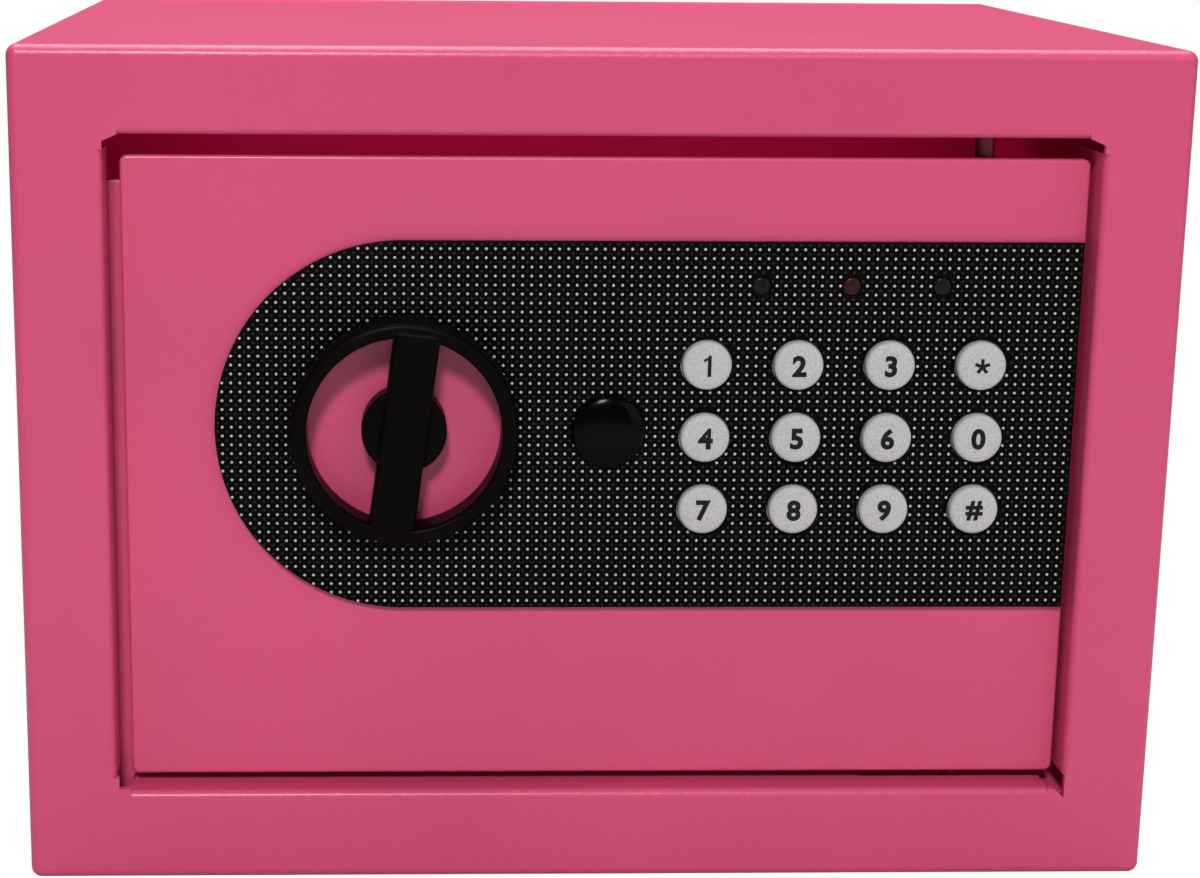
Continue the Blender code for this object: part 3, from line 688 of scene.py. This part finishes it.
def floor_mat():
    """A felt mat, laid in with a barely wavy top and soft edges."""
    low, high = extent("floor_mat")
    bm = bmesh.new()
    cells = 48
    for z, way in ((high.z, 1), (low.z, -1)):
        grid = {}
        for i in range(cells + 1):
            for j in range(cells + 1):
                u, v = i / cells, j / cells
                edge = min(u, 1 - u, v, 1 - v)
                wave = 0.12 * math.sin(9 * u + 2) * math.sin(7 * v + 1) - 0.12
                drop = -0.7 * math.exp(-edge * 90)
                lift = (wave + drop) if way > 0 else 0.0
                grid[i, j] = bm.verts.new(
                    (low.x + (high.x - low.x) * u, low.y + (high.y - low.y) * v, z + lift)
                )
        for i in range(cells):
            for j in range(cells):
                bm.faces.new([grid[i, j], grid[i + 1, j], grid[i + 1, j + 1], grid[i, j + 1]])
    rims = [e for e in bm.edges if e.is_boundary]
    bmesh.ops.bridge_loops(bm, edges=rims)
    mat = finish("felt_mat", bm, dark_felt, angle=50)
    place(mat, "cabinet", "felt", "floor_mat")


# --------------------------------------------------------------------- door


def door_plate():
    low, high = extent("door_plate")
    knob, lock, window = middle("knob"), middle("lock_housing"), extent("keypad_board")
    gap, corner = 0.5, 1.4
    hole = window[0].x - gap, window[1].x + gap, window[0].z - gap, window[1].z + gap

    def loops_at(inset):
        return [
            round_rectangle(low.x + inset, high.x - inset, low.z + inset, high.z - inset, corner - inset),
            circle((knob.x, knob.z), 5.9 + inset),
            circle((lock.x, lock.z), 7.4 + inset),
            round_rectangle(hole[0] - inset, hole[1] + inset, hole[2] - inset, hole[3] + inset, 0.6 + inset),
        ]

    bm = bmesh.new()
    plate(bm, loops_at, "Y", low.y, high.y, 0.6)
    place(shade(finish("door", bm, coat, angle=50)), "door", "powder_coat", "door_plate")


def fascia():
    """The dotted front panel: one plate with a raised stud at each lattice point."""
    low, high = extent("fascia_panel")
    radius = (high.z - low.z) / 2
    centre = (low.x + radius, (low.z + high.z) / 2)
    steps = 64
    turns = [math.pi * k / steps for k in range(steps + 1)]
    knob, lock = middle("knob"), middle("key_cover_plug")
    rounds = [((knob.x, knob.z), KNOB_HOLE), ((lock.x, lock.z), PLUG_HOLE)]
    small = [(f"key_{n}", KEY_HOLE) for n in KEYS] + [(f"lamp_{n}", LAMP_HOLE) for n in lens]
    rounds += [((middle(node).x, middle(node).z), hole) for node, hole in small]

    def loops_at(inset):
        r = radius - inset
        rim = [(centre[0] - r * math.sin(a), centre[1] + r * math.cos(a)) for a in turns]
        ends = [(high.x - inset, low.z + inset), (high.x - inset, high.z - inset)]
        return [ends + rim] + [circle(c, hole + inset) for c, hole in rounds]

    bm = bmesh.new()
    plate(bm, loops_at, "Y", low.y, high.y, 0.2, 3)
    plate_faces = len(bm.faces)
    # lattice points that keep clear of the panel's rim and its holes
    middle_x, middle_z = (low.x + high.x) / 2, (low.z + high.z) / 2
    columns = int((high.x - low.x) / 2 / DOT_PITCH) + 1
    rows = int((high.z - low.z) / 2 / DOT_PITCH) + 1
    clear = DOT_RADIUS + 0.1
    for i in range(-columns, columns + 1):
        for j in range(-rows, rows + 1):
            x, z = middle_x + i * DOT_PITCH, middle_z + j * DOT_PITCH
            if x > high.x - clear or abs(z - centre[1]) > radius - clear:
                continue
            if x < centre[0] and math.hypot(x - centre[0], z - centre[1]) > radius - clear:
                continue
            if any(math.hypot(x - c[0], z - c[1]) < r + clear for c, r in rounds):
                continue
            stud(bm, x, z, low.y)
    panel = finish("fascia", bm, panel_black, dot_grey_and_painted_highlight, angle=50)
    for face in panel.data.polygons[plate_faces:]:
        face.material_index = 1
    place(panel, "door", "black_plastic", "fascia_panel")


def stud(bm, x, z, front, sides=8):
    """A low closed dome let into the panel's face."""
    sink = 0.06
    rings = []
    for radius, out in ((DOT_RADIUS, -sink), (DOT_RADIUS, 0.02), (DOT_RADIUS * 0.72, DOT_HEIGHT * 0.75)):
        rings.append(
            [
                bm.verts.new(
                    (
                        x + radius * math.cos(2 * math.pi * k / sides),
                        front - out,
                        z + radius * math.sin(2 * math.pi * k / sides),
                    )
                )
                for k in range(sides)
            ]
        )
    tip = bm.verts.new((x, front - DOT_HEIGHT, z))
    for one, two in zip(rings, rings[1:]):
        for k in range(sides):
            m = (k + 1) % sides
            bm.faces.new([one[k], one[m], two[m], two[k]])
    for k in range(sides):
        bm.faces.new([rings[-1][k], rings[-1][(k + 1) % sides], tip])
    bm.faces.new(list(reversed(rings[0])))


def knob():
    low, high = extent("knob")
    centre = middle("knob")
    at = (centre.x, centre.z)
    outer = (high.x - low.x) / 2
    inner = outer - RING_WIDTH
    front = low.y + 0.2
    # the profile starts part of the way along the back face, so that it closes cleanly
    ring_profile = [
        (inner + 1, RING_BACK, 0), (outer, RING_BACK, 0.3), (outer, front, 1.5),
        (inner, front, 0.9), (inner, RING_BACK, 0),
    ]
    ring = lathe("turning_knob", rounded(ring_profile, 8), at, "Y", 160, black)
    reach = inner + 1.3
    bar_low = (at[0] - GRIP_HALF_WIDTH, low.y, at[1] - reach)
    bar_high = (at[0] + GRIP_HALF_WIDTH, RING_BACK, at[1] + reach)
    bar = box("grip", bar_low, bar_high, black, 1.1, 5)
    away, home = Matrix.Translation(centre * MM), Matrix.Translation(-centre * MM)
    bar.data.transform(away @ Matrix.Rotation(KNOB_TILT, 4, "Y") @ home)
    hub_profile = [
        (0, HUB_FRONT, 0), (HUB_RADIUS, HUB_FRONT, 0.8), (HUB_RADIUS, HUB_BACK, 0), (0, HUB_BACK, 0),
    ]
    hub = lathe("hub", rounded(hub_profile, 5), at, "Y", 96, black)
    combine(ring, [bar, hub], "UNION")
    bore = lathe("bore", drill(SPINDLE_BORE, BORE_FRONT, -79.0), at, "Y", 48, black)
    combine(ring, [bore], "DIFFERENCE")
    ring.data.materials.clear()
    ring.data.materials.append(black)
    ring.data.set_sharp_from_angle(angle=math.radians(40))
    shade(ring)
    place(ring, "knob", "black_plastic", "knob")


def plug():
    low, high = extent("key_cover_plug")
    centre = middle("key_cover_plug")
    radius = (high.x - low.x) / 2
    rim = low.y + 2.3
    rise = rim - 0.3 - low.y
    dome = [
        (radius * math.sin(a), rim - 0.3 - rise * math.cos(a))
        for a in (math.pi / 2 * k / 20 for k in range(1, 21))
    ]
    profile = [(0, low.y)] + dome + [(radius - 0.15, rim), (5.0, rim), (5.0, high.y), (0, high.y)]
    made = lathe("cover_plug", profile, (centre.x, centre.z), "Y", 96, gloss_black)
    place(made, "plug", "gloss_black", "key_cover_plug")


def drawn_figure(outline, height):
    """A figure from its own outline, given for a height of 1."""
    points = [(x * height, y * height) for x, y in outline]
    flat = [Vector((x, y, 0)) for x, y in points]
    return points, [tuple(face) for face in tessellate_polygon([flat])]


def star_outline(arms=5, tip=0.5, half_width=0.11):
    """Straight blunt arms that meet in the middle."""
    made = []
    for k in range(arms):
        a = math.pi / 2 + 2 * math.pi * k / arms
        along, across = Vector((math.cos(a), math.sin(a))), Vector((-math.sin(a), math.cos(a)))
        made += [along * tip - across * half_width, along * tip + across * half_width]
        notch = a + math.pi / arms
        made.append(Vector((math.cos(notch), math.sin(notch))) * half_width / math.sin(math.pi / arms))
    return [tuple(point) for point in made]


ONE = [
    (0.00, -0.50), (0.17, -0.50), (0.17, 0.50), (0.05, 0.50),
    (-0.02, 0.39), (-0.18, 0.32), (-0.18, 0.20), (0.00, 0.27),
]


def figure(text, height):
    """A character as flat faces centred on the origin, in millimetres."""
    if text in ("1", "*"):
        return drawn_figure(ONE if text == "1" else star_outline(), height)
    curve = bpy.data.curves.new("figure", "FONT")
    curve.body = text
    curve.offset = STROKE_GAIN
    curve.resolution_u = 6
    obj = bpy.data.objects.new("figure", curve)
    bpy.context.scene.collection.objects.link(obj)
    graph = bpy.context.evaluated_depsgraph_get()
    mesh = bpy.data.meshes.new_from_object(obj.evaluated_get(graph))
    points = [v.co.copy() for v in mesh.vertices]
    faces = [tuple(p.vertices) for p in mesh.polygons]
    bpy.data.objects.remove(obj)
    low = Vector((min(p.x for p in points), min(p.y for p in points)))
    high = Vector((max(p.x for p in points), max(p.y for p in points)))
    scale = height / (high.y - low.y)
    centre = (low + high) / 2
    return [((p.x - centre.x) * scale, (p.y - centre.y) * scale) for p in points], faces


def keys():
    """Twelve rubber caps, each with its printed figure."""
    for name, text in KEYS.items():
        low, high = extent(f"key_{name}")
        centre = middle(f"key_{name}")
        front, back, shoulder = low.y, high.y, low.y + 3.25
        profile = [
            (0, front, 0), (3.2, front + 0.03, 0), (CAP_RADIUS, front + 0.25, 0.8),
            (CAP_RADIUS, shoulder, 0), (SKIRT_RADIUS, shoulder, 0), (SKIRT_RADIUS, back, 0), (0, back, 0),
        ]
        bm = bmesh.new()
        turn(bm, rounded(profile, 6), (centre.x, centre.z), "Y", 64)
        cap_faces = len(bm.faces)
        points, faces = figure(text, FIGURE_HEIGHT * {"*": 0.72, "#": 0.95}.get(text, 1.0))
        print_front, print_back = front - 0.03, front + 0.12
        sheets = []
        for depth in (print_front, print_back):
            sheets.append([bm.verts.new((centre.x + x, depth, centre.z + y)) for x, y in points])
        for face in faces:
            bm.faces.new([sheets[0][i] for i in face])
            bm.faces.new([sheets[1][i] for i in reversed(face)])
        rims = [e for e in bm.edges if e.is_boundary]
        for e in rims:
            a, b = e.verts
            if a in sheets[0] and b in sheets[0]:
                i, j = sheets[0].index(a), sheets[0].index(b)
                bm.faces.new([a, b, sheets[1][j], sheets[1][i]])
        made = finish(f"cap_{name}", bm, key_grey, ink)
        for face in made.data.polygons[cap_faces:]:
            face.material_index = 1
        place(made, f"key_{name}", "grey_rubber", f"key_{name}")


def lamps():
    for name, look in lens.items():
        low, high = extent(f"lamp_{name}")
        centre = middle(f"lamp_{name}")
        front = low.y + 0.05
        profile = [(0, front)]
        profile += [
            (LENS_RADIUS * math.sin(a), front + 0.45 * (1 - math.cos(a)))
            for a in (math.pi / 2 * k / 10 for k in range(1, 11))
        ]
        profile += [(LENS_RADIUS, LENS_FOOT_FRONT), (LENS_FOOT, LENS_FOOT_FRONT)]
        profile += [(LENS_FOOT, high.y), (0, high.y)]
        made = lathe(f"lamp_lens_{name}", profile, (centre.x, centre.z), "Y", 48, look)
        place(made, "door", "lamp_lens", f"lamp_{name}")


def back_panel():
    """The rear sheet, welded in: its edges reach into the wrap's walls, so no light shows round it."""
    low, high = extent("back_panel")
    weld = 0.9

    def loops_at(inset):
        ends = low.x - weld + inset, high.x + weld - inset, low.z - weld + inset, high.z + weld - inset
        holes = [circle((x, 110.0), ANCHOR_RADIUS + inset) for x in (-ANCHOR_X, ANCHOR_X)]
        return [round_rectangle(*ends, 1.5 - inset)] + holes

    bm = bmesh.new()
    plate(bm, loops_at, "Y", low.y, high.y, 0.2, 2)
    place(shade(finish("rear_sheet", bm, coat, angle=50)), "cabinet", "powder_coat", "back_panel")


def bolts():
    for name in ("upper", "lower"):
        low, high = extent(f"bolt_{name}")
        centre = middle(f"bolt_{name}")
        radius = (high.z - low.z) / 2
        profile = rounded([(0, low.x, 0), (radius, low.x, 1.2), (radius, high.x, 0.3), (0, high.x, 0)], 6)
        made = lathe(f"round_bolt_{name}", profile, (centre.y, centre.z), "X", 64, turned)
        place(made, "bolts", "steel", f"bolt_{name}")


def carried_nodes():
    for node in ("bolt_stop_strip", "hinge_bracket_upper", "hinge_bracket_lower"):
        carry(node, coat, 0.3, 3)
    carry("inner_cover", coat, 0.35, 3)
    for node in ("battery_holder", "battery_cover", "buzzer"):
        carry(node, black, 0.25)
    # the hinge pins wear the dark crimson of painted shade
    carry("hinge_pin_upper", pin_shade_paint, 0.12)
    carry("hinge_pin_lower", pin_shade_paint, 0.12)
    for node in (
        "spindle", "crank", "bolt_carriage", "bolt_guide_bracket",
        "guide_post_upper", "guide_post_lower", "solenoid_yoke", "plunger", "plunger_spring",
        "lock_housing", "lock_nut", "lock_cam", "cam_nut",
        "cover_screw_1", "cover_screw_2", "cover_screw_3", "cover_screw_4",
    ):
        carry(node, plated, 0 if node == "plunger_spring" else 0.12)
    carry("spindle_bushing", brass)
    carry("lock_rotor", brass)
    carry("solenoid_coil", copper, 0.1)
    carry("keypad_board", green, 0.1)
    carry("reset_button", red, 0.1)
    for k in range(1, 5):
        low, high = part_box(f"battery_{k}")
        ends = (low[0], high[0]) if k % 2 == 0 else (high[0], low[0])
        carry(f"battery_{k}", cell_label(f"cell_{k}", *ends), 0.2)


# -------------------------------------------------------------------- stage


def white_to_camera(tree, white, real, surface):
    """The camera sees plain white; the safe is lit by the real shader."""
    path = add(tree, "ShaderNodeLightPath")
    mix = add(tree, "ShaderNodeMixShader")
    tree.links.new(path.outputs["Is Camera Ray"], mix.inputs["Fac"])
    tree.links.new(real, mix.inputs[1])
    tree.links.new(white, mix.inputs[2])
    tree.links.new(mix.outputs["Shader"], surface)


def studio():
    """A floor and surroundings that look white but throw little light back."""
    bm = bmesh.new()
    bmesh.ops.create_grid(bm, x_segments=1, y_segments=1, size=4000)
    made, tree, shader = new_material("pale_floor")
    shader.inputs["Base Color"].default_value = (0.55, 0.55, 0.55, 1)
    shader.inputs["Roughness"].default_value = 0.9
    shader.inputs["Specular IOR Level"].default_value = 0.0
    white = add(tree, "ShaderNodeEmission", Strength=1.0)
    surface = tree.nodes["Material Output"].inputs["Surface"]
    white_to_camera(tree, white.outputs["Emission"], shader.outputs["BSDF"], surface)
    floor = finish("floor", bm, made)
    floor.location.z = -0.0005

    world = bpy.data.worlds.new("studio")
    bpy.context.scene.world = world
    world.use_nodes = True
    tree = world.node_tree
    tree.nodes.clear()
    surface = add(tree, "ShaderNodeOutputWorld").inputs["Surface"]
    seen = add(tree, "ShaderNodeBackground", Strength=1.0)
    fill = add(tree, "ShaderNodeBackground", Strength=0.05)
    for background in (seen, fill):
        background.inputs["Color"].default_value = (1, 1, 1, 1)
    white_to_camera(tree, seen.outputs["Background"], fill.outputs["Background"], surface)


def panel_light(name, size, power, at, turned):
    """A flat light that the camera doesn't see; sizes and places are in metres."""
    data = bpy.data.lights.new(name, "AREA")
    data.shape = "RECTANGLE"
    data.size, data.size_y = size
    data.energy = power
    obj = bpy.data.objects.new(name, data)
    obj.location = at
    obj.rotation_euler = turned
    obj.visible_camera = False
    bpy.context.scene.collection.objects.link(obj)
    return obj


def soft_box(name, azimuth, elevation, distance, size, power):
    """A square light aimed at the safe; azimuth 0 stands in front, positive to the right."""
    a, e = math.radians(azimuth), math.radians(elevation)
    target = Vector((0, -60, 85)) * MM
    back = Vector((math.sin(a) * math.cos(e), -math.cos(a) * math.cos(e), math.sin(e)))
    turned = (-back).to_track_quat("-Z", "Y").to_euler()
    panel_light(name, (size, size), power, target + back * distance, turned)


def lights():
    soft_box("key", -8, 38, 2.0, 0.3, 26)
    soft_box("rear_overhead", 180, 72, 1.2, 1.0, 19)
    soft_box("side_fill", 50, 20, 2.0, 1.5, 8)
    # a weak card on the table in front, kept out of reflections
    card = panel_light("bounce", (0.5, 0.25), 0.1, Vector((0, -400, 5)) * MM, (math.radians(118), 0, 0))
    card.visible_glossy = False
    # stands in for light that has bounced off the pink walls, seen in the gaps round the door
    glow = panel_light("cavity", (0.2, 0.1), 0.04, Vector((0, 40, 150)) * MM, (math.radians(30), 0, 0))
    glow.data.color = (1.0, 0.06, 0.35)


def camera():
    """Stands a little left of centre and above, with the frame shifted to the right."""
    yaw, pitch, roll = (math.radians(v) for v in (1.85, 13.06, 0.48))
    forward = Vector((math.sin(yaw) * math.cos(pitch), math.cos(yaw) * math.cos(pitch), -math.sin(pitch)))
    level = Vector((math.cos(yaw), -math.sin(yaw), 0))
    upright = level.cross(forward)
    right = level * math.cos(roll) + upright * math.sin(roll)
    up = upright * math.cos(roll) - level * math.sin(roll)
    data = bpy.data.cameras.new("camera")
    data.lens = 73.6
    data.sensor_width = 36.0
    data.shift_x = 0.125
    data.clip_start, data.clip_end = 0.01, 20
    obj = bpy.data.objects.new("camera", data)
    bpy.context.scene.collection.objects.link(obj)
    turn_to = Matrix((right, up, -forward)).transposed().to_4x4()
    obj.matrix_world = Matrix.Translation((-0.0448, -0.5582, 0.2029)) @ turn_to
    bpy.context.scene.camera = obj


bpy.context.scene.view_settings.view_transform = "Standard"
cabinet()
floor_mat()
door_plate()
fascia()
knob()
plug()
keys()
lamps()
bolts()
back_panel()
carried_nodes()
studio()
lights()
camera()
